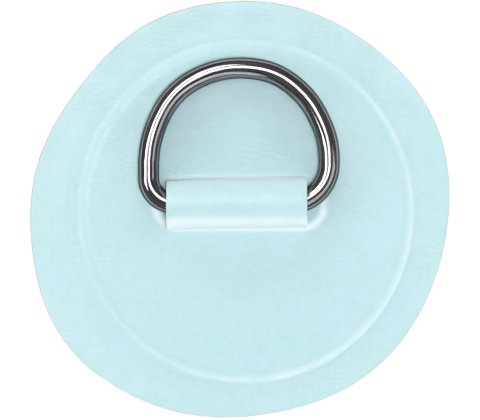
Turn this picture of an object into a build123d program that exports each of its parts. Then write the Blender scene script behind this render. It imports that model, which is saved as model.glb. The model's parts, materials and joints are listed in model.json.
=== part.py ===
"""Soft pad eye: a round bonding patch of coated fabric that holds a wire D-ring.

Three bonded layers make the base disc. A webbing strap and its outer skin arch over the
ring's bar, and their feet lie welded between the base disc and the moulded cover disc.
Sizes are in millimetres. +Z points out of the boat's surface and z = 0 is the bonding face.
+X runs along the ring's bar, and at rest the ring lies towards +Y.
"""

from build123d import *

import os
from math import asin, cos, degrees, radians, sqrt

# Base disc of coated fabric, cut round by hand
FLANGE = 6.5
LOWER_COAT = 0.25
SCRIM = 0.35
UPPER_COAT = 0.30
# The cut edge wanders in a few waves round the rim: number, height, direction of a crest
EDGE_WAVES = (
    (2, 0.90, 41),
    (3, 0.35, 96),
    (4, 0.28, 31),
    (5, 0.20, 23),
    (7, 0.12, 13),
    (8, 0.11, 31),
)
EDGE_POINTS = 48

# Ring of round wire bent to a D, welded shut in the middle of its bar
WIRE = 4.0
RING_INSIDE = 30.0
CORNER_RADIUS = 7.4
ARM = 1.2
BAR_Y = 1.5

# Strap webbing and its outer skin: full thickness in the arch, pressed flat in the feet
WEBBING = 1.4
WEBBING_PRESSED = 0.8
WEBBING_FOOT = 9.0
SKIN = 1.1
SKIN_PRESSED = 0.4
SKIN_FOOT = 3.5

# Moulded cover disc, with a raised pad under the ring's bar and corners
COVER_RADIUS = 33.5
COVER_OVER_FEET = 0.4
RIM_EDGE = 0.3
RIM_SLOPE = 2.7
RIM_ROUND = 2.0
PAD = 0.6
PAD_PAST_SKIN_X = 3.4
PAD_PAST_SKIN_Y = 0.6
PAD_CORNER = 4.6
PAD_BEVEL = 0.5

# Clearances
BAR_IN_WEBBING = 0.1
BAR_OVER_PAD = 0.3
CORNER_IN_SKIN = 0.12
WEBBING_IN_BAR = 0.1
BOW_OVER_COVER = 0.1
FEET_IN_COVER = 0.1

# Heights, worked out
base_top = LOWER_COAT + SCRIM + UPPER_COAT
webbing_foot_top = base_top + WEBBING_PRESSED
skin_foot_top = webbing_foot_top + SKIN_PRESSED
cover_top = skin_foot_top + COVER_OVER_FEET
pad_top = cover_top + PAD
wire_r = WIRE / 2
bar_z = pad_top + BAR_OVER_PAD + wire_r

# Ring, worked out. Its bow lies on the cover at rest, and again when it is folded over to
# the other side, so the ring dips a little both ways
bow_r = (RING_INSIDE + WIRE) / 2
bar_half = bow_r - CORNER_RADIUS
bow_y = CORNER_RADIUS + ARM
lift = PAD + BAR_OVER_PAD
rest_dip = degrees(asin((lift - BOW_OVER_COVER) / (bow_y + bow_r)))

# Strap, worked out. The webbing fills the bar's straight stretch. The skin is wider, as far
# as the ring's corners swing clear inside its arch
webbing_half = bar_half - WEBBING_IN_BAR
webbing_in = wire_r + BAR_IN_WEBBING
webbing_out = webbing_in + WEBBING
skin_out = webbing_out + SKIN
webbing_reach = skin_out + WEBBING_FOOT
skin_reach = skin_out + SKIN_FOOT
corner_in_r = CORNER_RADIUS - wire_r
corner_clear = CORNER_RADIUS - webbing_out + CORNER_IN_SKIN
skin_half = bar_half + sqrt(corner_in_r**2 - corner_clear**2)

# Cover, worked out
flat_r = COVER_RADIUS - RIM_SLOPE
pad_half_x = skin_half + PAD_PAST_SKIN_X
pad_half_y = skin_out + PAD_PAST_SKIN_Y


def edge_point(angle):
    """A point of the hand-cut edge, in a direction in degrees from +X."""
    radius = COVER_RADIUS + FLANGE
    for number, height, crest in EDGE_WAVES:
        radius += height * cos(radians(number * (angle - crest)))
    return Vector(radius, 0).rotate(Axis.Z, angle)


def strap_section(inner, outer, foot_bottom, foot_top, reach):
    """A strap seen along the bar: an arch over the bar on two flat feet."""
    with BuildSketch(Plane.YZ) as section:
        with BuildLine():
            for radius in (inner, outer):
                CenterArc((BAR_Y, bar_z), radius, 0, 180)
            for side in (-1, 1):
                Polyline(
                    (BAR_Y + side * inner, bar_z),
                    (BAR_Y + side * inner, foot_bottom),
                    (BAR_Y + side * reach, foot_bottom),
                    (BAR_Y + side * reach, foot_top),
                    (BAR_Y + side * outer, foot_top),
                    (BAR_Y + side * outer, bar_z),
                )
        make_face()
    return section.sketch


with BuildSketch() as base_outline:
    with BuildLine():
        Spline(*[edge_point(360 * i / EDGE_POINTS) for i in range(EDGE_POINTS)], periodic=True)
    make_face()

with BuildPart() as base_lower_coat:
    with BuildSketch(Plane.XY):
        add(base_outline.sketch)
    extrude(amount=LOWER_COAT)

with BuildPart() as base_scrim:
    with BuildSketch(Plane.XY.offset(LOWER_COAT)):
        add(base_outline.sketch)
    extrude(amount=SCRIM)

with BuildPart() as base_upper_coat:
    with BuildSketch(Plane.XY.offset(LOWER_COAT + SCRIM)):
        add(base_outline.sketch)
    extrude(amount=UPPER_COAT)

webbing_section = strap_section(
    webbing_in, webbing_out, base_top, webbing_foot_top, webbing_reach
)
with BuildPart() as strap_webbing:
    extrude(webbing_section, amount=webbing_half, both=True)

skin_section = strap_section(
    webbing_out, skin_out, webbing_foot_top, skin_foot_top, skin_reach
)
with BuildPart() as strap_skin:
    extrude(skin_section, amount=skin_half, both=True)

# The pockets in the cover are the straps' own shapes, with a clearance at their sides
webbing_pocket = strap_section(
    webbing_in - FEET_IN_COVER, webbing_out, base_top, webbing_foot_top,
    webbing_reach + FEET_IN_COVER,
)
skin_pocket = strap_section(
    webbing_out, skin_out + FEET_IN_COVER, webbing_foot_top, skin_foot_top,
    skin_reach + FEET_IN_COVER,
)
with BuildPart() as cover_disc:
    with BuildSketch(Plane.XZ):
        with BuildLine():
            Polyline(
                (0, base_top),
                (COVER_RADIUS, base_top),
                (COVER_RADIUS, base_top + RIM_EDGE),
                (flat_r, cover_top),
                (0, cover_top),
                close=True,
            )
        make_face()
    revolve(axis=Axis.Z)
    fillet(cover_disc.edges().filter_by(GeomType.CIRCLE).group_by(Axis.Z)[-1], RIM_ROUND)
    with BuildSketch(Plane.XY.offset(cover_top)):
        with Locations((0, BAR_Y)):
            RectangleRounded(2 * pad_half_x, 2 * pad_half_y, PAD_CORNER)
    extrude(amount=PAD)
    chamfer(cover_disc.faces().sort_by(Axis.Z)[-1].edges(), PAD_BEVEL)
    extrude(webbing_pocket, amount=webbing_half + FEET_IN_COVER, both=True, mode=Mode.SUBTRACT)
    extrude(skin_pocket, amount=skin_half + FEET_IN_COVER, both=True, mode=Mode.SUBTRACT)

ring_plane = Plane((0, BAR_Y, bar_z)).rotated((-rest_dip, 0, 0))
with BuildPart() as d_ring:
    with BuildLine(ring_plane) as wire_path:
        bar = Line((0, 0), (bar_half, 0))
        CenterArc((bar_half, CORNER_RADIUS), CORNER_RADIUS, -90, 90)
        Line((bow_r, CORNER_RADIUS), (bow_r, bow_y))
        CenterArc((0, bow_y), bow_r, 0, 90)
        mirror(about=Plane.YZ)
    with BuildSketch(Plane(bar @ 0, z_dir=bar % 0)):
        Circle(wire_r)
    sweep(path=wire_path.wire())

os.makedirs("parts", exist_ok=True)

base_lower_coat.part.label = "base_lower_coat"
export_step(base_lower_coat.part, "parts/base_lower_coat.step")

base_scrim.part.label = "base_scrim"
export_step(base_scrim.part, "parts/base_scrim.step")

base_upper_coat.part.label = "base_upper_coat"
export_step(base_upper_coat.part, "parts/base_upper_coat.step")

strap_webbing.part.label = "strap_webbing"
export_step(strap_webbing.part, "parts/strap_webbing.step")

strap_skin.part.label = "strap_skin"
export_step(strap_skin.part, "parts/strap_skin.step")

cover_disc.part.label = "cover_disc"
export_step(cover_disc.part, "parts/cover_disc.step")

d_ring.part.label = "d_ring"
export_step(d_ring.part, "parts/d_ring.step")

print(f"Hinge axis at y = {BAR_Y}, z = {bar_z:.2f}")
print(f"Swing from rest to folded over: {180 + 2 * rest_dip:.2f} degrees")
print(f"Skin width {2 * skin_half:.2f}, highest point {bar_z + skin_out:.2f}")
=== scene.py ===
"""The looks of a soft pad eye: a coated fabric patch, its moulded cover, a strap and a D-ring.

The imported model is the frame. Every field is in millimetres and MM turns it into metres.
+Z points out of the boat's surface, +X runs along the ring's bar, and the ring lies to +Y.
"""

import json
import logging
import math
from dataclasses import dataclass
from enum import Enum, IntEnum
from typing import ClassVar

import bmesh
import bpy
from mathutils import Matrix, Vector, noise


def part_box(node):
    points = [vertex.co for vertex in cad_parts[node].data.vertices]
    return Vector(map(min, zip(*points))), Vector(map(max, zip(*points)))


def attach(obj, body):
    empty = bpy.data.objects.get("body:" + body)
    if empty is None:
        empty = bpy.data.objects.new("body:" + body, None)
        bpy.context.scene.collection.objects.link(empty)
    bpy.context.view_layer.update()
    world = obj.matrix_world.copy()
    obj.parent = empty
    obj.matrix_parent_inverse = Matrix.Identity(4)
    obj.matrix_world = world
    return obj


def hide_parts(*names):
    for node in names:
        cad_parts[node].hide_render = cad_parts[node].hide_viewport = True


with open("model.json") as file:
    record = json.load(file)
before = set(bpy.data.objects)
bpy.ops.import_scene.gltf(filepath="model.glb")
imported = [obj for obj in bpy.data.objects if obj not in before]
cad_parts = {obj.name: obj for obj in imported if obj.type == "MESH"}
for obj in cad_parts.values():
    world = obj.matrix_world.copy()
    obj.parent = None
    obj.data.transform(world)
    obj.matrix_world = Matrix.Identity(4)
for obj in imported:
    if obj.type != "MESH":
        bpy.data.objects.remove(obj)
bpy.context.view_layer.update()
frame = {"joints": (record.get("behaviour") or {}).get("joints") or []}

MM = 0.001
SEED = 7
CLIP = (0.01, 10.0)
MERGE = 0.0005
RING_CLEARANCE = 0.1
log = logging.getLogger("soft_pad_eye")

Loop = list[tuple[float, float]]
Face = tuple[int, ...]
Socket = bpy.types.NodeSocket
Value = float | tuple[float, ...] | Socket


# ---------------------------------------------------------------- small helpers


class Body(Enum):
    """The rigid bodies that pieces ride on."""

    PATCH = "patch"
    RING = "ring"


class Slot(Enum):
    """The record's material slots."""

    COATED_FABRIC = "coated_fabric"
    SCRIM = "scrim"
    MOULDED_PVC = "moulded_pvc"
    WEBBING = "webbing"
    STAINLESS = "stainless"


class Salt(IntEnum):
    """What keeps one wandering shape from repeating another."""

    LIFT = 3
    DIMPLE = 5
    CUT = 7
    PIT = 8
    RIPPLE = 11
    PAINTED_LIGHT = 13
    # The noise that makes the painted highlight patchy
    SWELL = 21
    CREASE = 22
    RUFFLE = 23


def srgb(code: str, alpha: float = 1.0) -> tuple[float, float, float, float]:
    """Turns an sRGB hex colour into linear values.

    Args:
        code: The colour as "#RRGGBB".
        alpha: The fourth value.

    Returns:
        Linear red, green, blue and alpha.
    """
    parts = [int(code[i:i + 2], 16) / 255 for i in (1, 3, 5)]
    linear = [p / 12.92 if p <= 0.04045 else ((p + 0.055) / 1.055) ** 2.4 for p in parts]
    return (*linear, alpha)


def smoothstep(low: float, high: float, value: float) -> float:
    """A smooth change from 0 at low to 1 at high, whichever of them is larger."""
    t = min(max((value - low) / (high - low), 0.0), 1.0)
    return t * t * (3 - 2 * t)


def wander(x: float, y: float, size: float, salt: float = 0.0) -> float:
    """Smooth noise from about -1 to 1 with bumps about size across."""
    return noise.noise(Vector((x / size, y / size, salt)))


def per_mm(size: float) -> float:
    """A noise texture's scale for features of size millimetres on Object coordinates."""
    return 1 / (size * MM)


def waves_per_mm(pitch: float) -> float:
    """A wave texture's scale for bands pitch millimetres apart on Object coordinates."""
    return per_mm(pitch) * math.pi / 10


def box_mm(node: str) -> tuple[Vector, Vector]:
    """A CAD node's lowest and highest corner in millimetres."""
    low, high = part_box(node)
    return low / MM, high / MM


def disc_faces(rows: int, around: int) -> list[Face]:
    """Faces of a closed disc whose points lie in rows, with a point to close each end.

    Args:
        rows: How many rows there are, from the middle of one side to the middle of the other.
        around: How many points each row has.

    Returns:
        The faces. The two closing points come after all the rows, the first row's one first.
    """
    faces: list[Face] = []
    for row in range(rows - 1):
        a, b = row * around, (row + 1) * around
        faces += [(a + i, b + i, b + (i + 1) % around, a + (i + 1) % around) for i in range(around)]
    for row, pole in ((0, rows * around), (rows - 1, rows * around + 1)):
        first = row * around
        faces += [(first + i, first + (i + 1) % around, pole) for i in range(around)]
    return faces


def make_object(
    name: str,
    points: list[tuple[float, float, float]],
    faces: list[Face],
    values: dict[str, list[float]] | None = None,
) -> bpy.types.Object:
    """Makes a closed, smooth mesh object from points.

    Args:
        name: The object's name.
        points: The points, in millimetres.
        faces: Point numbers of each face.
        values: Named numbers, one for each point, that materials read.

    Returns:
        The object, linked to the scene, its doubles merged and its faces turned outwards.
    """
    mesh = bpy.data.meshes.new(name)
    mesh.from_pydata([Vector(p) * MM for p in points], [], faces)
    for label, numbers in (values or {}).items():
        mesh.attributes.new(label, "FLOAT", "POINT").data.foreach_set("value", numbers)
    shell = bmesh.new()
    shell.from_mesh(mesh)
    bmesh.ops.remove_doubles(shell, verts=shell.verts, dist=MERGE * MM)
    bmesh.ops.recalc_face_normals(shell, faces=shell.faces)
    shell.to_mesh(mesh)
    shell.free()
    mesh.shade_smooth()
    made = bpy.data.objects.new(name, mesh)
    bpy.context.scene.collection.objects.link(made)
    return made


def finish_piece(
    piece: bpy.types.Object,
    body: Body,
    slot: Slot,
    material: bpy.types.Material | None,
    *nodes: str,
) -> None:
    """Dresses a piece, hangs it on its body and names the CAD nodes it stands for.

    Args:
        piece: The piece.
        body: The body it rides on.
        slot: The record's slot that its finish belongs to. It is not used.
        material: Its material, or None where its node tree has set it.
        nodes: The CAD nodes it stands for.
    """
    if material is not None:
        piece.data.materials.clear()
        piece.data.materials.append(material)
    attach(piece, body.value)
    if nodes:
        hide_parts(*nodes)
    log.info("%s: %d faces on %s", piece.name, len(piece.data.polygons), body.value)


# ---------------------------------------------------------------- node trees


def add_node(
    tree: bpy.types.NodeTree,
    kind: str,
    inputs: dict[str | int, object] | None = None,
    **settings: object,
) -> bpy.types.Node:
    """Adds one node to a tree.

    Args:
        tree: The material's or geometry's tree.
        kind: The node's type, such as "ShaderNodeBump".
        inputs: Input name or number to a value, or to the socket that feeds it.
        settings: The node's own settings.

    Returns:
        The node.
    """
    made = tree.nodes.new(kind)
    for key, value in settings.items():
        setattr(made, key, value)
    for key, value in (inputs or {}).items():
        if isinstance(value, Socket):
            tree.links.new(value, made.inputs[key])
        else:
            made.inputs[key].default_value = value
    return made


def mix_colour(tree: bpy.types.NodeTree, factor: Value, first: Value, second: Value) -> Socket:
    """Mixes two colours.

    Args:
        tree: The material's tree.
        factor: The second colour's share.
        first: One colour.
        second: The other colour.

    Returns:
        The mixed colour's socket.
    """
    made = add_node(tree, "ShaderNodeMix", {0: factor, 6: first, 7: second}, data_type="RGBA")
    return made.outputs[2]


def spread(
    tree: bpy.types.NodeTree,
    value: Socket,
    low: float,
    high: float,
    to_low: float = 0.0,
    to_high: float = 1.0,
) -> Socket:
    """Maps a range of a value to another range, smoothly and held at its ends.

    Args:
        tree: The material's tree.
        value: The value's socket.
        low: Where the value's range begins.
        high: Where it ends.
        to_low: What low becomes.
        to_high: What high becomes.

    Returns:
        The new value's socket.
    """
    made = add_node(
        tree,
        "ShaderNodeMapRange",
        {0: value, 1: low, 2: high, 3: to_low, 4: to_high},
        interpolation_type="SMOOTHSTEP",
    )
    return made.outputs[0]


class GeometryTree:
    """A Geometry Nodes tree with named inputs, run once on a mesh and then thrown away."""

    SOCKETS: ClassVar[dict[type, str]] = {float: "NodeSocketFloat", int: "NodeSocketInt"}

    def __init__(self, name: str, sizes: dict[str, float | int]) -> None:
        """Makes the tree's inputs.

        Args:
            name: The tree's name.
            sizes: Input name to its value. Lengths are in metres.
        """
        self.tree = bpy.data.node_groups.new(name, "GeometryNodeTree")
        self.sizes = sizes
        face = self.tree.interface
        face.new_socket(name="Geometry", in_out="INPUT", socket_type="NodeSocketGeometry")
        for label, value in sizes.items():
            face.new_socket(name=label, in_out="INPUT", socket_type=self.SOCKETS[type(value)])
        face.new_socket(name="Geometry", in_out="OUTPUT", socket_type="NodeSocketGeometry")
        self.inputs = add_node(self.tree, "NodeGroupInput").outputs

    def add(
        self, kind: str, inputs: dict[str | int, object] | None = None, **settings: object
    ) -> bpy.types.Node:
        """Adds one node to the tree."""
        return add_node(self.tree, kind, inputs, **settings)

    def close(self, geometry: Socket, material: bpy.types.Material) -> None:
        """Ends the tree with real, smooth geometry.

        Args:
            geometry: The socket that holds the piece.
            material: The piece's material.
        """
        smooth = self.add("GeometryNodeSetShadeSmooth", {0: geometry})
        real = self.add("GeometryNodeRealizeInstances", {0: smooth.outputs[0]})
        dressed = self.add(
            "GeometryNodeSetMaterial", {"Geometry": real.outputs[0], "Material": material}
        )
        self.add("NodeGroupOutput", {0: dressed.outputs[0]})

    def run(self, name: str, start: bpy.types.Mesh) -> bpy.types.Object:
        """Runs the tree on a mesh.

        Args:
            name: The new object's name.
            start: The mesh that the tree begins with.

        Returns:
            A new object that holds the result as a plain mesh.
        """
        carrier = bpy.data.objects.new(name + "_start", start)
        bpy.context.scene.collection.objects.link(carrier)
        modifier = carrier.modifiers.new("tree", "NODES")
        modifier.node_group = self.tree
        for item in self.tree.interface.items_tree:
            if item.in_out == "INPUT" and item.name in self.sizes:
                modifier[item.identifier] = self.sizes[item.name]
        evaluated = carrier.evaluated_get(bpy.context.evaluated_depsgraph_get())
        mesh = bpy.data.meshes.new_from_object(evaluated)
        mesh.name = name
        bpy.data.objects.remove(carrier)
        made = bpy.data.objects.new(name, mesh)
        bpy.context.scene.collection.objects.link(made)
        return made


def path_mesh(name: str, points: list[Vector], closed: bool) -> bpy.types.Mesh:
    """Makes a mesh of edges for a tree that follows a path.

    Args:
        name: The mesh's name.
        points: The path's points, in millimetres.
        closed: Whether its last point joins its first.

    Returns:
        The mesh.
    """
    count = len(points)
    edges = [(i, (i + 1) % count) for i in range(count if closed else count - 1)]
    mesh = bpy.data.meshes.new(name)
    mesh.from_pydata([p * MM for p in points], edges, [])
    return mesh


# ---------------------------------------------------------------- finishes


@dataclass(frozen=True)
class Finish:
    """What every finish has: a name, and a Principled shader that its nodes feed."""

    name: str

    def start(self) -> tuple[bpy.types.NodeTree, bpy.types.Node]:
        """Makes the material.

        Returns:
            Its tree and its Principled shader.
        """
        material = bpy.data.materials.new(self.name)
        material.use_nodes = True
        return material.node_tree, material.node_tree.nodes["Principled BSDF"]

    def material(self) -> bpy.types.Material:
        """Makes the material on first use.

        Returns:
            The finished material.
        """
        if self.name not in bpy.data.materials:
            self.build(*self.start())
        return bpy.data.materials[self.name]

    def build(self, tree: bpy.types.NodeTree, shader: bpy.types.Node) -> None:
        """Adds the finish's own nodes.

        Args:
            tree: The material's tree.
            shader: Its Principled shader.
        """
        raise NotImplementedError


@dataclass(frozen=True)
class SoftPvc(Finish):
    """Plasticised PVC, calendered or hot pressed: satin, faintly mottled, finely wrinkled.

    The eye gets a pale aqua skin whose tone drifts a little over centimetres, patches of fine
    press wrinkles, and a cut edge that is duller and greyer than the skin.
    """

    colour: str = "#AED0D4"
    drift: str = "#B1D1D8"
    shade: str = "#ABD0D1"
    pale: str = "#BCD8DC"
    # The colour of the painted highlight on slopes that face the lamps
    painted_highlight: str = "#DCE8EA"
    cut: str = "#ACAFA8"
    core: str = "#CFD0C8"
    roughness: float = 0.46
    duller_cut: float = 0.3
    ior: float = 1.53
    mottle: float = 17.0
    blotch: float = 4.5
    grain: float = 1.3
    wrinkle: float = 1.1
    wrinkle_depth: float = 0.028
    wrinkle_slant: float = 0.22
    wrinkle_patch: float = 13.0
    pebble: float = 0.5
    pebble_depth: float = 0.03
    weave: float = 0.0
    weave_depth: float = 0.0
    weave_tone: float = 0.0

    def build(self, tree: bpy.types.NodeTree, shader: bpy.types.Node) -> None:
        """Adds the skin's tone, bumps and roughness.

        Args:
            tree: The material's tree.
            shader: Its Principled shader.
        """
        place = add_node(tree, "ShaderNodeTexCoord").outputs["Object"]
        blotches = self.cloud(tree, place, self.blotch, 4.0)
        yarns = self.yarns(tree, place) if self.weave else []
        cut = add_node(tree, "ShaderNodeAttribute", attribute_name="cut").outputs["Fac"]
        tone = self.tone(tree, place, blotches, yarns, cut)
        tree.links.new(tone, shader.inputs["Base Color"])
        tree.links.new(self.bumps(tree, place, yarns), shader.inputs["Normal"])

        # The skin is satin in patches, and a knife leaves the cut wall duller
        rough = spread(tree, blotches, 0.3, 0.7, self.roughness - 0.05, self.roughness + 0.07)
        rough = add_node(
            tree, "ShaderNodeMath", {0: cut, 1: self.duller_cut, 2: rough}, operation="MULTIPLY_ADD"
        ).outputs[0]
        tree.links.new(rough, shader.inputs["Roughness"])
        shader.inputs["IOR"].default_value = self.ior

    def tone(
        self,
        tree: bpy.types.NodeTree,
        place: Socket,
        blotches: Socket,
        yarns: list[Socket],
        cut: Socket,
    ) -> Socket:
        """Mixes the skin's colour.

        Args:
            tree: The material's tree.
            place: Object coordinates.
            blotches: Noise that shades the skin.
            yarns: The scrim's two sets of yarns, if they show.
            cut: Where the wall was cut.

        Returns:
            The colour's socket.
        """
        broad = spread(tree, self.cloud(tree, place, self.mottle, 3.0), 0.35, 0.65)
        tone = mix_colour(tree, broad, srgb(self.colour), srgb(self.drift))
        tone = mix_colour(tree, spread(tree, blotches, 0.45, 0.75), tone, srgb(self.shade))
        grain = self.cloud(tree, place, self.grain, 3.0)
        tone = mix_colour(tree, spread(tree, grain, 0.3, 0.7, 0.0, 0.34), tone, srgb(self.pale))
        for yarn in yarns:
            shown = spread(tree, yarn, 0.35, 0.85, 0.0, self.weave_tone)
            tone = mix_colour(tree, shown, tone, srgb(self.pale))

        # Painted highlight: slopes and edges that face the lamps are painted paler, standing in for
        # light. The cut wall is grey with a paler line where the strap's core shows
        painted_highlight = add_node(tree, "ShaderNodeAttribute", attribute_name="painted_highlight").outputs["Fac"]
        core = add_node(tree, "ShaderNodeAttribute", attribute_name="core").outputs["Fac"]
        tone = mix_colour(tree, painted_highlight, tone, srgb(self.painted_highlight))
        tone = mix_colour(tree, cut, tone, srgb(self.cut))
        return mix_colour(tree, core, tone, srgb(self.core))

    def bumps(self, tree: bpy.types.NodeTree, place: Socket, yarns: list[Socket]) -> Socket:
        """Raises wrinkles in patches, as where hot film was pressed, then pebble and yarns.

        Args:
            tree: The material's tree.
            place: Object coordinates.
            yarns: The scrim's two sets of yarns, if they show.

        Returns:
            The bent normal's socket.
        """
        turn = (0, 0, self.wrinkle_slant)
        slant = add_node(tree, "ShaderNodeMapping", {"Vector": place, "Rotation": turn})
        bands = add_node(
            tree,
            "ShaderNodeTexWave",
            {"Vector": slant.outputs[0], "Scale": waves_per_mm(self.wrinkle), "Distortion": 7.0,
             "Detail": 3.0, "Detail Scale": 1.6, "Detail Roughness": 0.6},
            bands_direction="Y",
        ).outputs["Fac"]
        patch = spread(tree, self.cloud(tree, place, self.wrinkle_patch, 1.5), 0.48, 0.64)
        wrinkles = add_node(tree, "ShaderNodeMath", {0: bands, 1: patch}, operation="MULTIPLY")
        bump = add_node(
            tree,
            "ShaderNodeBump",
            {"Height": wrinkles.outputs[0], "Distance": self.wrinkle_depth * MM},
        )
        pebble = self.cloud(tree, place, self.pebble, 2.0)
        raised = [(pebble, self.pebble_depth)] + [(yarn, self.weave_depth) for yarn in yarns]
        for height, depth in raised:
            bump = add_node(
                tree,
                "ShaderNodeBump",
                {"Height": height, "Distance": depth * MM, "Normal": bump.outputs[0]},
            )
        return bump.outputs[0]

    @staticmethod
    def cloud(tree: bpy.types.NodeTree, place: Socket, size: float, detail: float) -> Socket:
        """Noise with features of a size in millimetres."""
        return add_node(
            tree,
            "ShaderNodeTexNoise",
            {"Vector": place, "Scale": per_mm(size), "Detail": detail, "Roughness": 0.55},
        ).outputs["Fac"]

    def yarns(self, tree: bpy.types.NodeTree, place: Socket) -> list[Socket]:
        """The woven scrim's two sets of yarns, which show faintly through its coat.

        Real scrim has a yarn about every half millimetre; they are drawn twice as far apart so
        that they stay visible.
        """
        return [
            add_node(
                tree,
                "ShaderNodeTexWave",
                {"Vector": place, "Scale": waves_per_mm(self.weave), "Distortion": 0.35,
                 "Detail": 1.0, "Detail Scale": 0.6},
                bands_direction=direction,
            ).outputs["Fac"]
            for direction in "XY"
        ]


@dataclass(frozen=True)
class PolyesterYarn(Finish):
    """High tenacity polyester yarn: bright filaments laid side by side with a slight twist.

    The eye gets a thread's sheen and fine lines, with painted shade in the grooves. Real filaments
    are some 0.02 mm thick; bundles of them are drawn instead, so that they show.
    """

    colour: str = "#C9D6D6"
    # Painted shade for the grooves, also used for random stains
    groove_shade_and_stain: str = "#8FA3A6"
    filament: float = 0.18
    filament_depth: float = 0.03
    twist: tuple[float, float, float] = (0.25, 0.4, 0.5)
    stain: float = 1.5
    roughness: float = 0.62
    sheen: float = 0.25

    def build(self, tree: bpy.types.NodeTree, shader: bpy.types.Node) -> None:
        """Adds filament lines and their tone.

        Args:
            tree: The material's tree.
            shader: Its Principled shader.
        """
        place = add_node(tree, "ShaderNodeTexCoord").outputs["Object"]
        slant = add_node(
            tree, "ShaderNodeMapping", {"Vector": place, "Rotation": self.twist}
        ).outputs[0]
        lines = add_node(
            tree,
            "ShaderNodeTexWave",
            {"Vector": slant, "Scale": waves_per_mm(self.filament), "Distortion": 2.5,
             "Detail": 2.0},
        ).outputs["Fac"]
        clouds = add_node(
            tree, "ShaderNodeTexNoise", {"Vector": place, "Scale": per_mm(self.stain), "Detail": 3.0}
        ).outputs["Fac"]
        # Painted shade darkens the grooves between filament lines; the same colour marks random
        # stains
        tone = mix_colour(tree, spread(tree, lines, 0.1, 0.6), srgb(self.groove_shade_and_stain), srgb(self.colour))
        tone = mix_colour(tree, spread(tree, clouds, 0.5, 0.8, 0.0, 0.5), tone, srgb(self.groove_shade_and_stain))
        tree.links.new(tone, shader.inputs["Base Color"])
        bump = add_node(
            tree, "ShaderNodeBump", {"Height": lines, "Distance": self.filament_depth * MM}
        )
        tree.links.new(bump.outputs[0], shader.inputs["Normal"])
        shader.inputs["Roughness"].default_value = self.roughness
        shader.inputs["Sheen Weight"].default_value = self.sheen


@dataclass(frozen=True)
class PolishedSteel(Finish):
    """Drawn stainless wire, bent, butt welded and tumble polished.

    The eye gets a dark mirror with draw lines along the wire, faint smudges where it was handled,
    and a few scuffs where hooks have run. Real draw lines are some 0.02 mm wide and are drawn
    coarser, so that they show. Its dark grazing tint is painted reflection: it darkens the edges
    as if they mirrored an unlit room.
    """

    light: str = "#B2B1B2"
    dark: str = "#69686C"
    # The dark edge tint, a painted reflection of an unlit room
    grazing: str = "#4A4A4E"
    draw_line: float = 0.22
    line_stretch: float = 0.03
    line_depth: float = 0.006
    draw_band: float = 0.9
    band_stretch: float = 0.08
    smudge: float = 5.0
    scuff: float = 2.2
    polished: tuple[float, float] = (0.07, 0.15)
    scuffed: float = 0.14

    def build(self, tree: bpy.types.NodeTree, shader: bpy.types.Node) -> None:
        """Adds draw lines, smudges and scuffs.

        Args:
            tree: The material's tree.
            shader: Its Principled shader.
        """
        along = add_node(tree, "ShaderNodeAttribute", attribute_name="wire_place").outputs["Vector"]
        place = add_node(tree, "ShaderNodeTexCoord").outputs["Object"]
        lines = self.drawn(tree, along, self.draw_line, self.line_stretch)
        bands = self.drawn(tree, along, self.draw_band, self.band_stretch)
        smudge = add_node(
            tree, "ShaderNodeTexNoise", {"Vector": place, "Scale": per_mm(self.smudge), "Detail": 3.0}
        ).outputs["Fac"]
        scuffs = add_node(
            tree,
            "ShaderNodeTexNoise",
            {"Vector": place, "Scale": per_mm(self.scuff), "Detail": 6.0, "Roughness": 0.75},
        ).outputs["Fac"]
        tone = mix_colour(tree, spread(tree, lines, 0.30, 0.70), srgb(self.dark), srgb(self.light))
        tone = mix_colour(tree, spread(tree, bands, 0.45, 0.70, 0.0, 0.6), tone, srgb(self.dark))
        tree.links.new(tone, shader.inputs["Base Color"])
        worn = spread(tree, scuffs, 0.62, 0.72, 0.0, self.scuffed)
        rough = spread(tree, smudge, 0.4, 0.7, *self.polished)
        rough = add_node(tree, "ShaderNodeMath", {0: rough, 1: worn}, operation="ADD").outputs[0]
        tree.links.new(rough, shader.inputs["Roughness"])
        bump = add_node(
            tree, "ShaderNodeBump", {"Height": lines, "Distance": self.line_depth * MM}
        )
        tree.links.new(bump.outputs[0], shader.inputs["Normal"])
        shader.inputs["Metallic"].default_value = 1.0
        # Painted reflection: a dark edge tint stands in for the unlit room that the edges mirror
        shader.inputs["Specular Tint"].default_value = srgb(self.grazing)

    @staticmethod
    def drawn(tree: bpy.types.NodeTree, along: Socket, width: float, stretch: float) -> Socket:
        """Makes noise that is drawn out along the wire.

        Args:
            tree: The material's tree.
            along: Places along and about the wire.
            width: How wide its lines are, in millimetres.
            stretch: Their width as a share of their length.

        Returns:
            The noise's socket.
        """
        pulled = add_node(tree, "ShaderNodeMapping", {"Vector": along, "Scale": (stretch, 1.0, 1.0)})
        return add_node(
            tree,
            "ShaderNodeTexNoise",
            {"Vector": pulled.outputs[0], "Scale": per_mm(width), "Detail": 4.0, "Roughness": 0.6},
        ).outputs["Fac"]


@dataclass(frozen=True)
class StudioPaper(Finish):
    """Matt white background paper with a trace of tooth."""

    colour: str = "#F4F5F5"
    bright: str = "#F7F8F8"
    tooth: float = 0.8
    roughness: float = 0.9
    specular: float = 0.1

    def build(self, tree: bpy.types.NodeTree, shader: bpy.types.Node) -> None:
        """Adds the paper's tooth.

        Args:
            tree: The material's tree.
            shader: Its Principled shader.
        """
        place = add_node(tree, "ShaderNodeTexCoord").outputs["Object"]
        tooth = add_node(
            tree, "ShaderNodeTexNoise", {"Vector": place, "Scale": per_mm(self.tooth), "Detail": 2.0}
        ).outputs["Fac"]
        tone = mix_colour(tree, spread(tree, tooth, 0.4, 0.6), srgb(self.colour), srgb(self.bright))
        tree.links.new(tone, shader.inputs["Base Color"])
        shader.inputs["Roughness"].default_value = self.roughness
        shader.inputs["Specular IOR Level"].default_value = self.specular


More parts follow.
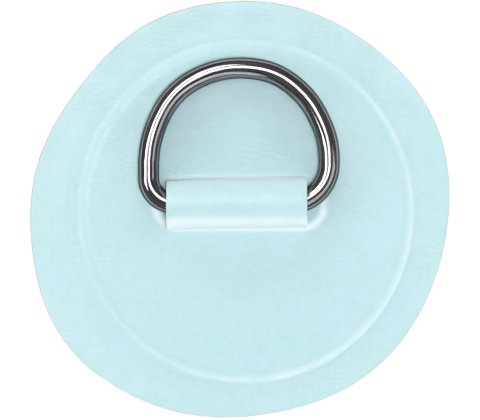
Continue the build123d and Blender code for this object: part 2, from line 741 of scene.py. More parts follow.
COVER_PVC = SoftPvc("moulded_soft_pvc")
STRAP_PVC = SoftPvc("strap_soft_pvc", painted_highlight="#DCE3E4", wrinkle=1.6, wrinkle_depth=0.02)
TOP_COAT = SoftPvc("calendered_pvc_top_coat", weave=1.0, weave_depth=0.008, weave_tone=0.05)
BOND_COAT = SoftPvc(
    "calendered_pvc_bond_coat", roughness=0.58, weave=1.0, weave_depth=0.05, weave_tone=0.45,
    wrinkle_depth=0.015,
)
SCRIM_YARN = PolyesterYarn("polyester_scrim_yarn", colour="#DADDD6", groove_shade_and_stain="#A9AFA9")
WEBBING_YARN = PolyesterYarn("polyester_webbing_yarn")
STEEL = PolishedSteel("tumble_polished_stainless_wire")
PAPER = StudioPaper("matt_background_paper")


# ---------------------------------------------------------------- the base disc


@dataclass
class HandCutEdge:
    """The outline of the base disc: a circle that wanders in a few waves, cut by hand."""

    radius: float = 40.0
    waves: tuple[tuple[int, float, float], ...] = (
        (2, 0.90, 41),
        (3, 0.35, 96),
        (4, 0.28, 31),
        (5, 0.20, 23),
        (7, 0.12, 13),
        (8, 0.11, 31),
    )
    nibble: float = 0.05
    nibble_size: float = 2.4

    def at(self, angle: float) -> float:
        """Finds the edge's radius in a direction.

        Args:
            angle: The direction, in radians from +X.

        Returns:
            The radius in millimetres.
        """
        wide = self.radius
        for number, height, crest in self.waves:
            wide += height * math.cos(number * (angle - math.radians(crest)))
        x, y = wide * math.cos(angle), wide * math.sin(angle)
        return wide + self.nibble * wander(x, y, self.nibble_size, Salt.CUT)


@dataclass
class BaseDisc:
    """Two PVC coats with a woven polyester scrim between them, cut to one outline.

    Beyond the cover the flange is free, and stands a little off the floor in places.
    """

    edge: HandCutEdge
    cover_radius: float
    flange_lift: float = 0.20
    flash: float = 0.20
    flash_inset: float = 0.4
    flash_end: float = 36.5
    around: int = 540
    inner_rings: tuple[float, ...] = (0.18, 0.36, 0.54, 0.70, 0.80)
    flange_rings: int = 6
    flange_step: float = 0.9
    joint_inset: float = 1.0
    rim_band: float = 0.8
    ripple: float = 0.025
    ripple_size: float = 6.5
    scrim_inset: float = 0.10
    corner: float = 0.06
    yarn_pitch: float = 1.0
    yarn_width: float = 0.26
    yarn_stub: float = 0.34
    yarn_wave: float = 0.05
    yarn_waves: int = 270

    def lift(self, radius: float, angle: float) -> float:
        """Finds how far the free flange stands off the floor, which the three layers share.

        Args:
            radius: A place's distance from the centre.
            angle: Its direction, in radians from +X.

        Returns:
            The height in millimetres.
        """
        out = max(radius - self.cover_radius, 0) / (self.edge.radius - self.cover_radius)
        swell = 0.5 + 0.9 * wander(math.cos(angle), math.sin(angle), 0.45, Salt.LIFT)
        return self.flange_lift * min(out, 1.3) ** 2 * min(max(swell, 0.0), 1.0)

    def layer(
        self, name: str, low: float, high: float, inset: float, flash: float = 0.0
    ) -> bpy.types.Object:
        """Makes one closed layer.

        Args:
            name: The piece's name.
            low: The layer's underside.
            high: The layer's upper side.
            inset: How far its edge stays back from the cut.
            flash: How much thicker it is where it meets the cover.

        Returns:
            The layer, with its cut wall marked.
        """
        bend = self.corner
        wall = [(bend * 2.2, 0.0), (bend, 0.03), (bend * 0.25, 0.3), (0.0, 0.5),
                (bend * 0.25, 0.7), (bend, 0.97), (bend * 2.2, 1.0)]
        flat = [share * self.edge.radius for share in self.inner_rings]
        flat += [self.cover_radius + self.flange_step * i for i in range(self.flange_rings)]
        # Each row is its distance from the centre, how far it stays back from the rim instead,
        # how far down the wall it lies, and how much it shows the cut
        rows = [(away, 0.0, 0.0, 0.0) for away in flat]
        rows += [
            (0.0, back, down, 0.0 if down in (0.0, 1.0) else 1.0) for back, down in wall
        ]
        rows += [(away, 0.0, 1.0, 0.0) for away in reversed(flat)]
        joint = self.cover_radius - self.joint_inset
        flash_start = self.cover_radius - self.flash_inset
        points: list[tuple[float, float, float]] = []
        cut: list[float] = []
        for away, back, down, marked in rows:
            for i in range(self.around):
                angle = math.tau * i / self.around
                rim = self.edge.at(angle) - inset
                radius = away if away else rim - back
                if away > joint:
                    share = (away - joint) / (self.edge.radius - self.cover_radius)
                    radius = joint + share * (rim - self.rim_band - joint)
                x, y = radius * math.cos(angle), radius * math.sin(angle)
                height = high + (low - high) * down + self.lift(radius, angle)
                if down == 0.0:
                    height += self.ripple * wander(x, y, self.ripple_size, Salt.RIPPLE)
                    height += flash * (1 - smoothstep(flash_start, self.flash_end, radius))
                points.append((x, y, height))
                cut.append(marked)
        points += [(0.0, 0.0, high), (0.0, 0.0, low)]
        return make_object(
            name, points, disc_faces(len(rows), self.around), {"cut": cut + [0.0, 0.0]}
        )

    def yarn_ends(self, low: float, high: float) -> bpy.types.Object:
        """Makes the cut ends of the scrim's yarns round the edge, with Geometry Nodes.

        Args:
            low: The scrim's underside.
            high: The scrim's upper side.

        Returns:
            The yarn ends, dressed.
        """
        tree = GeometryTree(
            "scrim_yarn_ends",
            {"Pitch": self.yarn_pitch * MM, "Yarn": self.yarn_width * MM,
             "Stub": self.yarn_stub * MM, "Seed": SEED},
        )
        given = tree.inputs
        path = tree.add("GeometryNodeMeshToCurve", {"Mesh": given["Geometry"]})
        spots = tree.add(
            "GeometryNodeResampleCurve", {"Curve": path.outputs[0], "Length": given["Pitch"]},
            mode="LENGTH",
        )
        half = tree.add("ShaderNodeMath", {0: given["Yarn"], 1: 0.5}, operation="MULTIPLY")
        stub = tree.add(
            "GeometryNodeMeshCylinder",
            {"Vertices": 8, "Radius": half.outputs[0], "Depth": given["Stub"]},
        )
        where = tree.add("GeometryNodeInputPosition")
        flat = tree.add(
            "ShaderNodeVectorMath", {0: where.outputs[0], 1: (1, 1, 0)}, operation="MULTIPLY"
        )
        turn = tree.add(
            "FunctionNodeAlignRotationToVector", {"Vector": flat.outputs[0]}, axis="Z"
        )
        vary = tree.add(
            "FunctionNodeRandomValue", {2: 0.75, 3: 1.15, "Seed": given["Seed"]}, data_type="FLOAT"
        )
        ends = tree.add(
            "GeometryNodeInstanceOnPoints",
            {"Points": spots.outputs[0], "Instance": stub.outputs[0],
             "Rotation": turn.outputs[0], "Scale": vary.outputs[1]},
        )
        tree.close(ends.outputs[0], SCRIM_YARN.material())
        middle = (low + high) / 2
        rim = []
        for i in range(self.around):
            angle = math.tau * i / self.around
            radius = self.edge.at(angle) - self.yarn_stub / 2 - 0.02
            height = middle + self.lift(radius, angle)
            height += self.yarn_wave * math.sin(self.yarn_waves * angle)
            rim.append(Vector((radius * math.cos(angle), radius * math.sin(angle), height)))
        return tree.run("scrim_yarn_ends", path_mesh("scrim_rim", rim, closed=True))

    def build(self) -> None:
        """Makes and dresses the three layers and the yarn ends."""
        lower, scrim, upper = (
            box_mm(n) for n in ("base_lower_coat", "base_scrim", "base_upper_coat")
        )
        under = self.layer("lower_coat", lower[0].z, lower[1].z, 0.0)
        finish_piece(under, Body.PATCH, Slot.COATED_FABRIC, BOND_COAT.material(), "base_lower_coat")
        cloth = self.layer("scrim_cloth", scrim[0].z, scrim[1].z, self.scrim_inset)
        finish_piece(cloth, Body.PATCH, Slot.SCRIM, SCRIM_YARN.material(), "base_scrim")
        over = self.layer("upper_coat", upper[0].z, upper[1].z, 0.0, self.flash)
        finish_piece(over, Body.PATCH, Slot.COATED_FABRIC, TOP_COAT.material(), "base_upper_coat")
        ends = self.yarn_ends(scrim[0].z, scrim[1].z)
        finish_piece(ends, Body.PATCH, Slot.SCRIM, None)


# ---------------------------------------------------------------- the cover


@dataclass
class CoverDisc:
    """The moulded disc over the strap's feet, with the raised pad under the ring's bar."""

    bar_y: float
    low: float
    pad_top: float
    pad: float = 0.6
    pad_half_x: float = 16.6
    pad_half_y: float = 5.2
    pad_corner: float = 4.6
    pad_bevel: float = 2.3
    crown: float = 0.35
    crown_start: float = 20.0
    rim_start: float = 29.95
    rim_end: float = 32.95
    rim_late: float = 1.6
    rim_off: float = 1.2
    rim_oval: float = 0.978
    # How strong the painted highlight is on the rim and on the pad's bevel
    rim_highlight: float = 0.45
    bevel_highlight: float = 0.9
    feather: float = 0.22
    foot: tuple[tuple[float, float], ...] = ((0.10, 0.12), (0.04, 0.0))
    inner_foot: float = 20.0
    around: int = 480
    dimples: tuple[tuple[float, float, Salt], ...] = (
        (0.035, 9.0, Salt.DIMPLE),
        (0.015, 3.5, Salt.PIT),
    )

    # Where the rim's painted highlight begins, is full, starts to fade and ends, and the side
    # that the lamps light most, where it is strongest
    PAINTED_LIGHT: ClassVar[tuple[float, float, float, float]] = (31.05, 32.35, 32.45, 33.25)
    LAMP_SIDE: ClassVar[tuple[float, float]] = (0.87, -0.5)

    # The mesh's rings: how many there are in each stretch, where it starts and their spacing
    STRETCHES: ClassVar[tuple[tuple[int, float, float], ...]] = (
        (53, 0.35, 0.35),
        (12, 19.0, 0.8),
        (49, 28.02, 0.11),
    )

    def pad_depth(self, x: float, y: float) -> float:
        """Finds how far a point lies outside the pad's outline.

        Args:
            x: The point's place along the bar.
            y: The point's place across it.

        Returns:
            The distance in millimetres, which is negative inside the outline.
        """
        dx = abs(x) - (self.pad_half_x - self.pad_corner)
        dy = abs(y - self.bar_y) - (self.pad_half_y - self.pad_corner)
        return math.hypot(max(dx, 0), max(dy, 0)) + min(max(dx, dy), 0) - self.pad_corner

    def pad_rise(self, x: float, y: float) -> float:
        """How far the raised pad stands up at a point, from 0 to 1."""
        return 1 - smoothstep(-self.pad_bevel * 0.75, self.pad_bevel * 0.25, self.pad_depth(x, y))

    def out(self, x: float, y: float) -> float:
        """A point's distance from the rim's own centre: the rim is a slight oval, set off it."""
        return math.hypot((x - self.rim_off) / self.rim_oval, y)

    def fall(self, away: float) -> float:
        """How far the rim has fallen at a distance from its centre, from 0 to 1."""
        t = min(max((away - self.rim_start) / (self.rim_end - self.rim_start), 0.0), 1.0)
        return smoothstep(0.0, 1.0, t ** self.rim_late)

    def height(self, x: float, y: float) -> float:
        """Finds the cover's upper surface.

        Args:
            x: A point's place along the bar.
            y: The point's place across it.

        Returns:
            The height there, in millimetres above the bonding face.
        """
        away = self.out(x, y)
        top = self.pad_top - self.pad
        top -= self.crown * smoothstep(self.crown_start, self.rim_end, away)
        fall = self.fall(away)
        level = top + (self.low + self.feather - top) * fall
        level += self.pad * self.pad_rise(x, y)
        for depth, size, salt in self.dimples:
            level += depth * wander(x, y, size, salt) * (1 - fall)
        return level

    def painted_highlight(self, x: float, y: float) -> float:
        """Finds how much painted highlight the skin gets, which stands in for light on its slopes.

        It is painted along the rim, most at its lower right where the lamps light it most, and on
        the pad's bevel, most on its lower side.

        Args:
            x: A point's place along the bar.
            y: The point's place across it.

        Returns:
            The painted highlight's share there, from 0 to 1.
        """
        away = self.out(x, y)
        begin, full, fade, end = self.PAINTED_LIGHT
        rim = smoothstep(begin, full, away) * (1 - smoothstep(fade, end, away))
        strong_x, strong_y = self.LAMP_SIDE
        # Painted highlight: strongest on the side that the lamps light most
        rim *= 0.8 + 0.4 * (strong_x * x + strong_y * y) / max(away, 1.0)
        rise = self.pad_rise(x, y)
        bevel = 4 * rise * (1 - rise) * (0.45 + 0.55 * smoothstep(1.0, -2.0, y - self.bar_y))
        patchy = 0.85 + 0.4 * wander(x, y, 6.0, Salt.PAINTED_LIGHT)
        return min(1.0, (self.rim_highlight * rim + self.bevel_highlight * bevel) * patchy)

    def stations(self) -> list[float]:
        """Distances of the mesh's rings from the centre, closer where the shape bends."""
        return [start + step * i for count, start, step in self.STRETCHES for i in range(count)]

    def build(self) -> None:
        """Makes and dresses the cover."""
        points: list[tuple[float, float, float]] = []
        # The painted highlight's share at each point
        painted_highlight: list[float] = []
        rings = self.stations()
        angles = [math.tau * i / self.around for i in range(self.around)]
        for away in rings:
            for angle in angles:
                x, y = away * math.cos(angle), away * math.sin(angle)
                points.append((x, y, self.height(x, y)))
                painted_highlight.append(self.painted_highlight(x, y))
        under = [(rings[-1] + out, lift) for out, lift in self.foot] + [(self.inner_foot, 0.0)]
        for away, lift in under:
            for angle in angles:
                points.append((away * math.cos(angle), away * math.sin(angle), self.low + lift))
        points += [(0.0, 0.0, self.height(0, 0)), (0.0, 0.0, self.low)]
        painted_highlight += [0.0] * (len(points) - len(painted_highlight))
        faces = disc_faces(len(rings) + len(under), self.around)
        disc = make_object("moulded_cover", points, faces, {"painted_highlight": painted_highlight})
        finish_piece(disc, Body.PATCH, Slot.MOULDED_PVC, COVER_PVC.material(), "cover_disc")


# ---------------------------------------------------------------- the strap


@dataclass
class Strap:
    """Webbing that carries the load, and the PVC skin that is pressed over it."""

    cover: CoverDisc
    bar_y: float
    bar_z: float
    skin_half: float
    webbing_half: float
    foot_low: float
    base_top: float
    webbing_in: float = 2.1
    webbing_out: float = 3.5
    skin_out: float = 4.6
    skin_shift: float = -0.55
    foot_reach: float = 8.1
    foot_sink: float = 0.25
    foot_spread: float = 1.0
    flank_least: float = 0.12
    flank_tuck: float = 0.06
    flank_out: float = 0.10
    arc_start: float = 4.0
    arc_points: int = 34
    flank_points: int = 9
    swell: float = 0.04
    swell_size: float = 5.0
    crease: float = 0.04
    ruffle_size: float = 2.5
    edge_round: float = 0.25
    # Painted light over the foot, lightening the crease's shade: start, full and how much
    foot_painted_light: tuple[float, float, float] = (4.4, 4.9, 0.60)
    sections: int = 36
    layers: int = 6
    ribs: int = 17
    rib_gap: float = 0.12
    rib_overlap: float = 1.04
    rib_sides: int = 12
    webbing_reach: float = 9.0
    webbing_step: float = 1.3
    webbing_bend: float = 0.35
    bend_in: tuple[float, float] = (0.25, 0.05)
    leg_step: float = 0.6
    bar_steps: int = 14

    # Along the strap from its left end to its right one: how far its lower and upper side reach
    # from the bar, and how far its middle strays from it
    SIDES: ClassVar[dict[int, tuple[float, ...]]] = {
        -1: (5.05, 5.10, 5.08, 4.95, 4.70),
        1: (4.15, 5.00, 5.40, 5.30, 5.05),
    }
    STRAY: ClassVar[tuple[float, ...]] = (-0.40, -0.12, 0.0, 0.08, 0.15)

    # Its painted highlight on the lower and upper side: where it starts, where it is full, how much
    HIGHLIGHT_SIDES: ClassVar[dict[int, tuple[float, float, float]]] = {
        -1: (2.1, 3.4, 0.72),
        1: (1.5, 5.0, 0.38),
    }

    def along(self, x: float, values: tuple[float, ...]) -> float:
        """Reads a row of evenly spaced values along the strap, smoothly.

        Args:
            x: The place along the strap.
            values: The values, from its left end to its right one.

        Returns:
            The value there.
        """
        place = (x / self.skin_half + 1) / 2 * (len(values) - 1)
        first = min(max(int(place), 0), len(values) - 2)
        return values[first] + (values[first + 1] - values[first]) * smoothstep(0, 1, place - first)

    def arc(self, radius: float, x: float, side: int) -> Loop:
        """Makes the part of a section that runs over the bar.

        Args:
            radius: Its distance from the bar's middle.
            x: The place along the strap.
            side: -1 for the lower side and 1 for the upper one.

        Returns:
            Points from beside the bar to above it, as distance to that side and height.
        """
        stray = self.along(x, self.STRAY) * side
        points: Loop = []
        for i in range(self.arc_points):
            share = i / (self.arc_points - 1)
            turn = math.radians(self.arc_start + (90 - self.arc_start) * share)
            y, z = math.cos(turn), math.sin(turn)
            swell = self.swell * wander(x, side * 3.0, self.swell_size, Salt.SWELL) * z
            swell += self.crease * wander(x * 0.16, side * y * 5.0, 1.0, Salt.CREASE)
            points.append(((radius + swell) * y + stray, self.bar_z + (radius + swell) * z))
        points[-1] = (stray, points[-1][1])
        return points

    def ground(self, x: float, side: int, reach: float) -> float:
        """The cover's surface under the strap at a distance to one side of the bar."""
        return self.cover.height(x + self.skin_shift, self.bar_y + side * reach)

    def outer(self, x: float, side: int) -> Loop:
        """Makes one half of a section's outer face, whose flank runs out into the pad.

        Args:
            x: The place along the strap.
            side: -1 for the lower side and 1 for the upper one.

        Returns:
            Points from the foot to the crest, as distance to that side and height.
        """
        top = self.skin_out + self.along(x, self.STRAY) * side
        ruffle = self.swell * wander(x, side, self.ruffle_size, Salt.RUFFLE)
        foot = max(self.along(x, self.SIDES[side]) + ruffle, top + self.flank_least)
        leg: Loop = [
            (reach, self.ground(x, side, reach) - self.foot_sink)
            for reach in (self.foot_reach, foot + self.foot_spread)
        ]
        level = self.ground(x, side, foot)
        for i in range(self.flank_points):
            turn = math.pi / 2 * i / self.flank_points
            reach = foot + self.flank_out - (foot + self.flank_out - top) * math.sin(turn)
            low = level - self.flank_tuck * math.cos(turn)
            leg.append((reach, low + (self.bar_z - low) * (1 - math.cos(turn))))
        return leg + self.arc(self.skin_out, x, side)

    def inner(self, x: float, side: int) -> Loop:
        """Makes one half of a section's inner face, point for point with the outer one.

        Args:
            x: The place along the strap.
            side: -1 for the lower side and 1 for the upper one.

        Returns:
            Points from the foot to the crest, as distance to that side and height.
        """
        near = self.webbing_out + self.along(x, self.STRAY) * side
        leg: Loop = [
            (self.foot_reach, self.foot_low),
            (near + 1.4, self.foot_low),
            (near + 0.3, self.foot_low),
            (near + 0.05, self.foot_low + 0.2),
        ]
        start = self.foot_low + 0.5
        steps = self.flank_points - 2
        leg += [(near, start + (self.bar_z - start) * i / steps) for i in range(steps)]
        return leg + self.arc(self.webbing_out, x, side)

    def highlight_share(self, side: int, reach: float) -> float:
        """Painted highlight and light on the foot, at a distance to one side of the bar."""
        zones = (self.HIGHLIGHT_SIDES[side], self.foot_painted_light)
        return sum(smoothstep(start, full, reach) * share for start, full, share in zones)

    def build_skin(self) -> None:
        """Makes the skin as a grid of sections along the bar, with rounded cut ends."""
        ends = [(self.skin_half, 0.70), (self.skin_half - 0.05, 0.88),
                (self.skin_half - self.edge_round, 1.0)]
        inside = self.skin_half - self.edge_round
        places = [(-x, thick) for x, thick in ends]
        places += [(-inside + 2 * inside * i / self.sections, 1.0) for i in range(1, self.sections)]
        places += reversed(ends)
        points: list[tuple[float, float, float]] = []
        values: dict[str, list[float]] = {"cut": [], "core": [], "painted_highlight": []}
        for number, (x, thick) in enumerate(places):
            at_end = number in (0, len(places) - 1)
            for side in (-1, 1):
                pairs = list(zip(self.outer(x, side), self.inner(x, side)))
                pairs = pairs if side < 0 else list(reversed(pairs))[1:]
                for (oy, oz), (iy, iz) in pairs:
                    # Painted highlight, strongest on the lower side, and painted light on the foot
                    pale = self.highlight_share(side, oy)
                    for layer in range(self.layers):
                        t = 0.5 + (layer / (self.layers - 1) - 0.5) * thick
                        points.append((
                            x + self.skin_shift,
                            self.bar_y + side * (oy + (iy - oy) * t),
                            oz + (iz - oz) * t,
                        ))
                        within = 0 < layer < self.layers - 1
                        values["cut"].append(0.7 if at_end and within else 0.0)
                        values["core"].append(0.8 if at_end and layer in (2, 3) else 0.0)
                        values["painted_highlight"].append(pale * (0.9 + 0.3 * wander(x, oz, 4.0, side)))
        faces = self.skin_faces(len(places), 2 * len(self.inner(0, 1)) - 1)
        skin = make_object("strap_cover_skin", points, faces, values)
        finish_piece(skin, Body.PATCH, Slot.MOULDED_PVC, STRAP_PVC.material(), "strap_skin")

    def skin_faces(self, count: int, around: int) -> list[Face]:
        """Joins the skin's grid into a closed shell.

        Args:
            count: How many sections there are.
            around: How many places each section has from one foot to the other.

        Returns:
            The faces: outer and inner face, the two feet, and the two cut ends.
        """

        section_step, place_step, layer_step = around * self.layers, self.layers, 1

        def square(section: int, place: int, layer: int, first: int, second: int) -> Face:
            """A face at a grid point, whose sides are two steps to its neighbours."""
            start = section * section_step + place * place_step + layer
            return start, start + first, start + first + second, start + second

        faces: list[Face] = []
        last, far = count - 1, around - 1
        for section in range(last):
            for place in range(far):
                for layer in (0, self.layers - 1):
                    faces.append(square(section, place, layer, section_step, place_step))
            for place in (0, far):
                for layer in range(self.layers - 1):
                    faces.append(square(section, place, layer, section_step, layer_step))
        for section in (0, last):
            for place in range(far):
                for layer in range(self.layers - 1):
                    faces.append(square(section, place, layer, place_step, layer_step))
        return faces

    def build_webbing(self) -> None:
        """Makes the webbing's ribs over the bar, side by side, with Geometry Nodes."""
        pitch = 2 * self.webbing_half / self.ribs
        thick = self.webbing_out - self.webbing_in - self.rib_gap
        tree = GeometryTree(
            "webbing_ribs",
            {"Count": self.ribs, "Pitch": pitch * MM, "First": -pitch * (self.ribs - 1) / 2 * MM,
             "Thickness": thick * MM, "Overlap": self.rib_overlap, "Sides": self.rib_sides},
        )
        given = tree.inputs
        run = tree.add("GeometryNodeMeshToCurve", {"Mesh": given["Geometry"]})
        first = tree.add("ShaderNodeCombineXYZ", {"X": given["First"]})
        step = tree.add("ShaderNodeCombineXYZ", {"X": given["Pitch"]})
        row = tree.add(
            "GeometryNodeMeshLine",
            {"Count": given["Count"], "Start Location": first.outputs[0], "Offset": step.outputs[0]},
        )
        ribs = tree.add(
            "GeometryNodeInstanceOnPoints", {"Points": row.outputs[0], "Instance": run.outputs[0]}
        )
        real = tree.add("GeometryNodeRealizeInstances", {0: ribs.outputs[0]})
        wide = tree.add(
            "ShaderNodeMath", {0: given["Pitch"], 1: given["Overlap"]}, operation="MULTIPLY"
        )
        shape = tree.add("ShaderNodeCombineXYZ", {"X": given["Thickness"], "Y": wide.outputs[0]})
        circle = tree.add(
            "GeometryNodeCurvePrimitiveCircle", {"Resolution": given["Sides"], "Radius": 0.5}
        )
        profile = tree.add(
            "GeometryNodeTransform", {"Geometry": circle.outputs[0], "Scale": shape.outputs[0]}
        )
        swept = tree.add(
            "GeometryNodeCurveToMesh",
            {"Curve": real.outputs[0], "Profile Curve": profile.outputs[0], "Fill Caps": True},
        )
        tree.close(swept.outputs[0], WEBBING_YARN.material())
        path = path_mesh("webbing_path", self.webbing_path(), closed=False)
        webbing = tree.run("load_webbing", path)
        finish_piece(webbing, Body.PATCH, Slot.WEBBING, None, "strap_webbing")

    def webbing_path(self) -> list[Vector]:
        """Lays the line that each rib follows: a foot, over the bar, and the other foot.

        Returns:
            The line's points, from the lower foot to the upper one.
        """
        middle = (self.webbing_in + self.webbing_out) / 2
        foot = (self.foot_low + self.base_top) / 2
        bend = foot + self.webbing_bend
        half: Loop = [
            (middle + self.webbing_reach - self.webbing_step * i, foot) for i in range(7)
        ]
        half += [(middle + self.bend_in[0], foot + self.bend_in[1]), (middle, bend)]
        half += [(middle, bend + self.leg_step * i) for i in range(1, 6)]
        for i in range(self.bar_steps + 1):
            turn = math.radians(90 * i / self.bar_steps)
            half.append((middle * math.cos(turn), self.bar_z + middle * math.sin(turn)))
        path = [Vector((0, self.bar_y - y, z)) for y, z in half]
        return path + [Vector((0, self.bar_y + y, z)) for y, z in reversed(half[:-1])]

    def build(self) -> None:
        """Makes and dresses the webbing and its skin."""
        self.build_webbing()
        self.build_skin()


# ---------------------------------------------------------------- the ring


@dataclass
class DRing:
    """Round wire bent to a D: a straight bar, two corners, two short arms and a bow.

    It was bent by hand round a jig, so its left corner is tighter than its right one and the
    bow strays a few tenths of a millimetre from a true half circle.
    """

    bar: Vector
    far: float
    rest: float
    wire: float = 4.0
    inside: float = 30.0
    bow_y: float = 8.6
    corners: tuple[float, float] = (4.8, 7.4)
    arms: tuple[float, float] = (17.2, 16.95)
    strays: tuple[tuple[float, float, float], ...] = (
        (25, 13, -0.16),
        (67, 14, 0.20),
        (134, 16, 0.12),
        (160, 20, -0.26),
    )
    sides: int = 48
    spacing: float = 0.4

    @property
    def dip(self) -> float:
        """How steeply the ring slopes down to where its bow rests, in radians."""
        return math.asin((self.bar.z - self.wire / 2 - self.rest) / (self.far - self.wire / 2))

    def stray(self, angle: float) -> float:
        """How far the bow stands outside its half circle at an angle in degrees."""
        return sum(
            height * math.exp(-(((angle - middle) / width) ** 2))
            for middle, width, height in self.strays
        )

    def bow(self) -> Loop:
        """Lays the bow.

        Returns:
            Its points, from the right arm over the top to the left arm.
        """
        radius = (self.inside + self.wire) / 2
        steps = round(math.pi * radius / self.spacing)
        points: Loop = []
        for i in range(steps + 1):
            angle = 180 * i / steps
            turn = math.radians(angle)
            reach = radius + self.stray(angle)
            wide = self.arms[0] if angle > 90 else self.arms[1]
            x = reach * math.cos(turn) * (1 + (wide / radius - 1) * abs(math.cos(turn)))
            points.append((x, self.bow_y + reach * math.sin(turn)))
        return points

    def lower(self, side: int) -> Loop:
        """Lays the wire from the middle of the bar, round a corner and up to the bow.

        Args:
            side: -1 for the left half and 1 for the right half.

        Returns:
            The points, without the bow's first one.
        """
        corner = self.corners[0] if side < 0 else self.corners[1]
        wide = self.arms[0] if side < 0 else self.arms[1]
        straight = wide - corner
        steps = round(straight / self.spacing)
        points = [(side * straight * i / steps, 0.0) for i in range(steps)]
        steps = round(corner * math.pi / 2 / self.spacing)
        for i in range(steps):
            turn = math.pi / 2 * i / steps
            points.append(
                (side * (straight + corner * math.sin(turn)), corner * (1 - math.cos(turn)))
            )
        steps = max(1, round((self.bow_y - corner) / self.spacing))
        points += [
            (side * wide, corner + (self.bow_y - corner) * i / steps) for i in range(steps)
        ]
        return points

    def path(self) -> list[Vector]:
        """Lays the middle of the wire and tips it about the bar, so that the bow rests.

        Returns:
            Points from the middle of the bar and all the way round.
        """
        flat = self.lower(1) + self.bow() + list(reversed(self.lower(-1)[1:]))
        down = Vector((0, math.cos(self.dip), -math.sin(self.dip)))
        return [self.bar + Vector((x, 0, 0)) + down * y for x, y in flat]

    def build(self) -> None:
        """Sweeps the wire along its path with Geometry Nodes, and dresses it."""
        tree = GeometryTree("wire_ring", {"Wire": self.wire * MM, "Sides": self.sides})
        given = tree.inputs
        run = tree.add("GeometryNodeMeshToCurve", {"Mesh": given["Geometry"]})
        radius = tree.add("ShaderNodeMath", {0: given["Wire"], 1: 0.5}, operation="MULTIPLY")
        circle = tree.add(
            "GeometryNodeCurvePrimitiveCircle",
            {"Resolution": given["Sides"], "Radius": radius.outputs[0]},
        )
        length = tree.add("GeometryNodeSplineParameter")
        along = tree.add(
            "GeometryNodeStoreNamedAttribute",
            {"Geometry": run.outputs[0], "Name": "along", "Value": length.outputs["Length"]},
            data_type="FLOAT", domain="POINT",
        )
        about = tree.add(
            "GeometryNodeStoreNamedAttribute",
            {"Geometry": circle.outputs[0], "Name": "about", "Value": length.outputs["Length"]},
            data_type="FLOAT", domain="POINT",
        )
        swept = tree.add(
            "GeometryNodeCurveToMesh",
            {"Curve": along.outputs[0], "Profile Curve": about.outputs[0]},
        )
        reads = [
            tree.add("GeometryNodeInputNamedAttribute", {"Name": name}, data_type="FLOAT")
            for name in ("along", "about")
        ]
        place = tree.add(
            "ShaderNodeCombineXYZ", {"X": reads[0].outputs[0], "Y": reads[1].outputs[0]}
        )
        stored = tree.add(
            "GeometryNodeStoreNamedAttribute",
            {"Geometry": swept.outputs[0], "Name": "wire_place", "Value": place.outputs[0]},
            data_type="FLOAT_VECTOR", domain="POINT",
        )
        tree.close(stored.outputs[0], STEEL.material())
        ring = tree.run("wire_d_ring", path_mesh("ring_path", self.path(), closed=True))
        finish_piece(ring, Body.RING, Slot.STAINLESS, None, "d_ring")


# ---------------------------------------------------------------- the studio


class Reach(Enum):
    """What a lamp acts on: only matt tone, or only what polished surfaces mirror."""

    TONE = (True, False)
    MIRROR = (False, True)


@dataclass(frozen=True)
class Lamp:
    """A soft rectangular or round lamp that faces the patch.

    Fields: its name, its direction and distance from the patch, its width and length, the
    radiance of its face, what it acts on, and the direction its length runs in.
    """

    name: str
    towards: tuple[float, float, float]
    away: float
    width: float
    length: float
    radiance: float
    reach: Reach
    along: tuple[float, float, float] = (0.0, 1.0, 0.0)

    def build(self) -> None:
        """Hangs the lamp."""
        data = bpy.data.lights.new(self.name, "AREA")
        data.shape = "ELLIPSE" if self.width == self.length else "RECTANGLE"
        data.size, data.size_y = self.width * MM, self.length * MM
        area = data.size * data.size_y * (math.pi / 4 if data.shape == "ELLIPSE" else 1.0)
        # A flat lamp's power is its radiance over its area and over the half sphere it lights
        data.energy = self.radiance * math.pi * area
        lamp = bpy.data.objects.new(self.name, data)
        back = Vector(self.towards).normalized()
        side = Vector(self.along).cross(back).normalized()
        up = back.cross(side)
        turn = Matrix((side, up, back)).transposed().to_4x4()
        lamp.matrix_world = Matrix.Translation(back * self.away * MM) @ turn
        tone, mirror = self.reach.value
        lamp.visible_diffuse = tone
        lamp.visible_glossy = mirror
        lamp.visible_camera = False
        bpy.context.scene.collection.objects.link(lamp)


# A lamp overhead and a low panel on each side give the tone; the last three draw the highlight
# that runs all round the ring, and a dimmer second line on its right
LAMPS = (
    Lamp("overhead", (0.09, -0.10, 1.0), 610, 106, 106, 69.5, Reach.TONE),
    Lamp("low_panel_front", (0.45, -1.0, 0.31), 620, 900, 330, 2.0, Reach.TONE, (0, 0, 1)),
    Lamp("low_panel_back", (-0.3, 1.0, 0.33), 800, 1000, 400, 3.5, Reach.TONE, (0, 0, 1)),
    Lamp("low_panel_left", (-1.0, -0.35, 0.33), 800, 800, 400, 3.1, Reach.TONE, (0, 0, 1)),
    Lamp("low_panel_right", (1.0, 0.2, 0.33), 800, 800, 400, 2.4, Reach.TONE, (0, 0, 1)),
    Lamp("strip_right", (0.62, -0.82, 1.0), 720, 360, 1500, 1.5, Reach.MIRROR, (1.23, 1.64, 0)),
    Lamp("softbox_left", (-0.50, 0.36, 1.0), 600, 190, 680, 5.6, Reach.MIRROR, (0.36, 0.50, 0)),
    Lamp("card_above", (0.05, 0.22, 1.0), 600, 240, 240, 5.6, Reach.MIRROR),
)


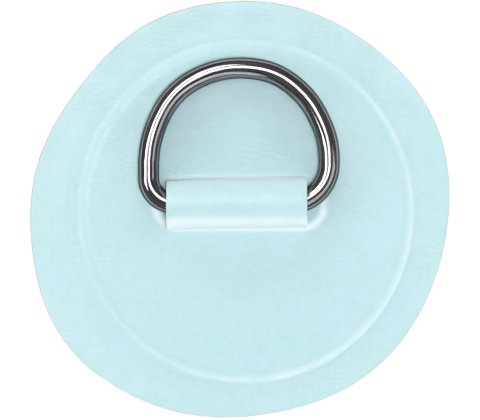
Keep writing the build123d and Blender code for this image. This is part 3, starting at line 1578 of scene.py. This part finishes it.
@dataclass
class Studio:
    """A white floor, soft light from all round, and a camera straight above."""

    view_width: float = 91.3
    lens: float = 180.0
    sensor: float = 36.0
    aim: tuple[float, float, float] = (0.08, 0.23, 2.5)
    room: float = 0.27
    room_mirrored: float = 0.17
    wall: float = 1.0
    floor_half: float = 640.0
    floor_drop: float = 0.02

    def build_floor(self) -> None:
        """Lays the background paper under the patch."""
        half, z = self.floor_half * MM, -self.floor_drop * MM
        mesh = bpy.data.meshes.new("floor")
        corners = [(-half, -half, z), (half, -half, z), (half, half, z), (-half, half, z)]
        mesh.from_pydata(corners, [], [(0, 1, 2, 3)])
        mesh.materials.append(PAPER.material())
        floor = bpy.data.objects.new("floor", mesh)
        bpy.context.scene.collection.objects.link(floor)

    def build_room(self) -> None:
        """Makes the room's fill, which polished surfaces mirror dimly, and its pale far wall."""
        world = bpy.data.worlds.new("room")
        world.use_nodes = True
        tree = world.node_tree
        back = tree.nodes["Background"]
        back.inputs["Color"].default_value = srgb("#FFFFFF")
        path = add_node(tree, "ShaderNodeLightPath")
        fill = add_node(
            tree,
            "ShaderNodeMapRange",
            {0: path.outputs["Is Glossy Ray"], 1: 0.0, 2: 1.0, 3: self.room, 4: self.room_mirrored},
        )
        seen = add_node(
            tree,
            "ShaderNodeMapRange",
            {0: path.outputs["Is Camera Ray"], 1: 0.0, 2: 1.0, 3: fill.outputs[0], 4: self.wall},
        )
        tree.links.new(seen.outputs[0], back.inputs["Strength"])
        bpy.context.scene.world = world

    def build_camera(self) -> None:
        """Puts the camera straight above, with +Y up in the picture."""
        data = bpy.data.cameras.new("camera")
        data.lens = self.lens
        data.sensor_width = self.sensor
        camera = bpy.data.objects.new("camera", data)
        away = self.view_width * self.lens / self.sensor
        camera.location = Vector((self.aim[0], self.aim[1], self.aim[2] + away)) * MM
        data.clip_start, data.clip_end = CLIP
        bpy.context.scene.collection.objects.link(camera)
        bpy.context.scene.camera = camera

    def build(self) -> None:
        """Sets up the camera, the floor, the room, the lamps and a plain view transform."""
        self.build_camera()
        self.build_floor()
        self.build_room()
        for lamp in LAMPS:
            lamp.build()
        bpy.context.scene.view_settings.view_transform = "Standard"


# ---------------------------------------------------------------- all of it


def main() -> None:
    """Builds every sub-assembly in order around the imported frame."""
    logging.basicConfig(level=logging.INFO, format="%(name)s: %(message)s")
    bar = Vector(frame["joints"][0]["pos_m"]) / MM
    base_top = box_mm("base_upper_coat")[1].z
    cover_low, cover_high = box_mm("cover_disc")
    skin_low, skin_high = box_mm("strap_skin")
    webbing_high = box_mm("strap_webbing")[1]
    ring_high = box_mm("d_ring")[1]

    Studio().build()
    BaseDisc(HandCutEdge(), cover_radius=cover_high.x).build()
    cover = CoverDisc(bar_y=bar.y, low=cover_low.z, pad_top=cover_high.z)
    cover.build()
    Strap(
        cover=cover,
        bar_y=bar.y,
        bar_z=bar.z,
        skin_half=skin_high.x,
        webbing_half=webbing_high.x,
        foot_low=skin_low.z,
        base_top=base_top,
    ).build()
    rest = cover.pad_top - cover.pad + RING_CLEARANCE
    DRing(bar=bar, far=ring_high.y - bar.y, rest=rest).build()


if __name__ == "__main__":
    main()
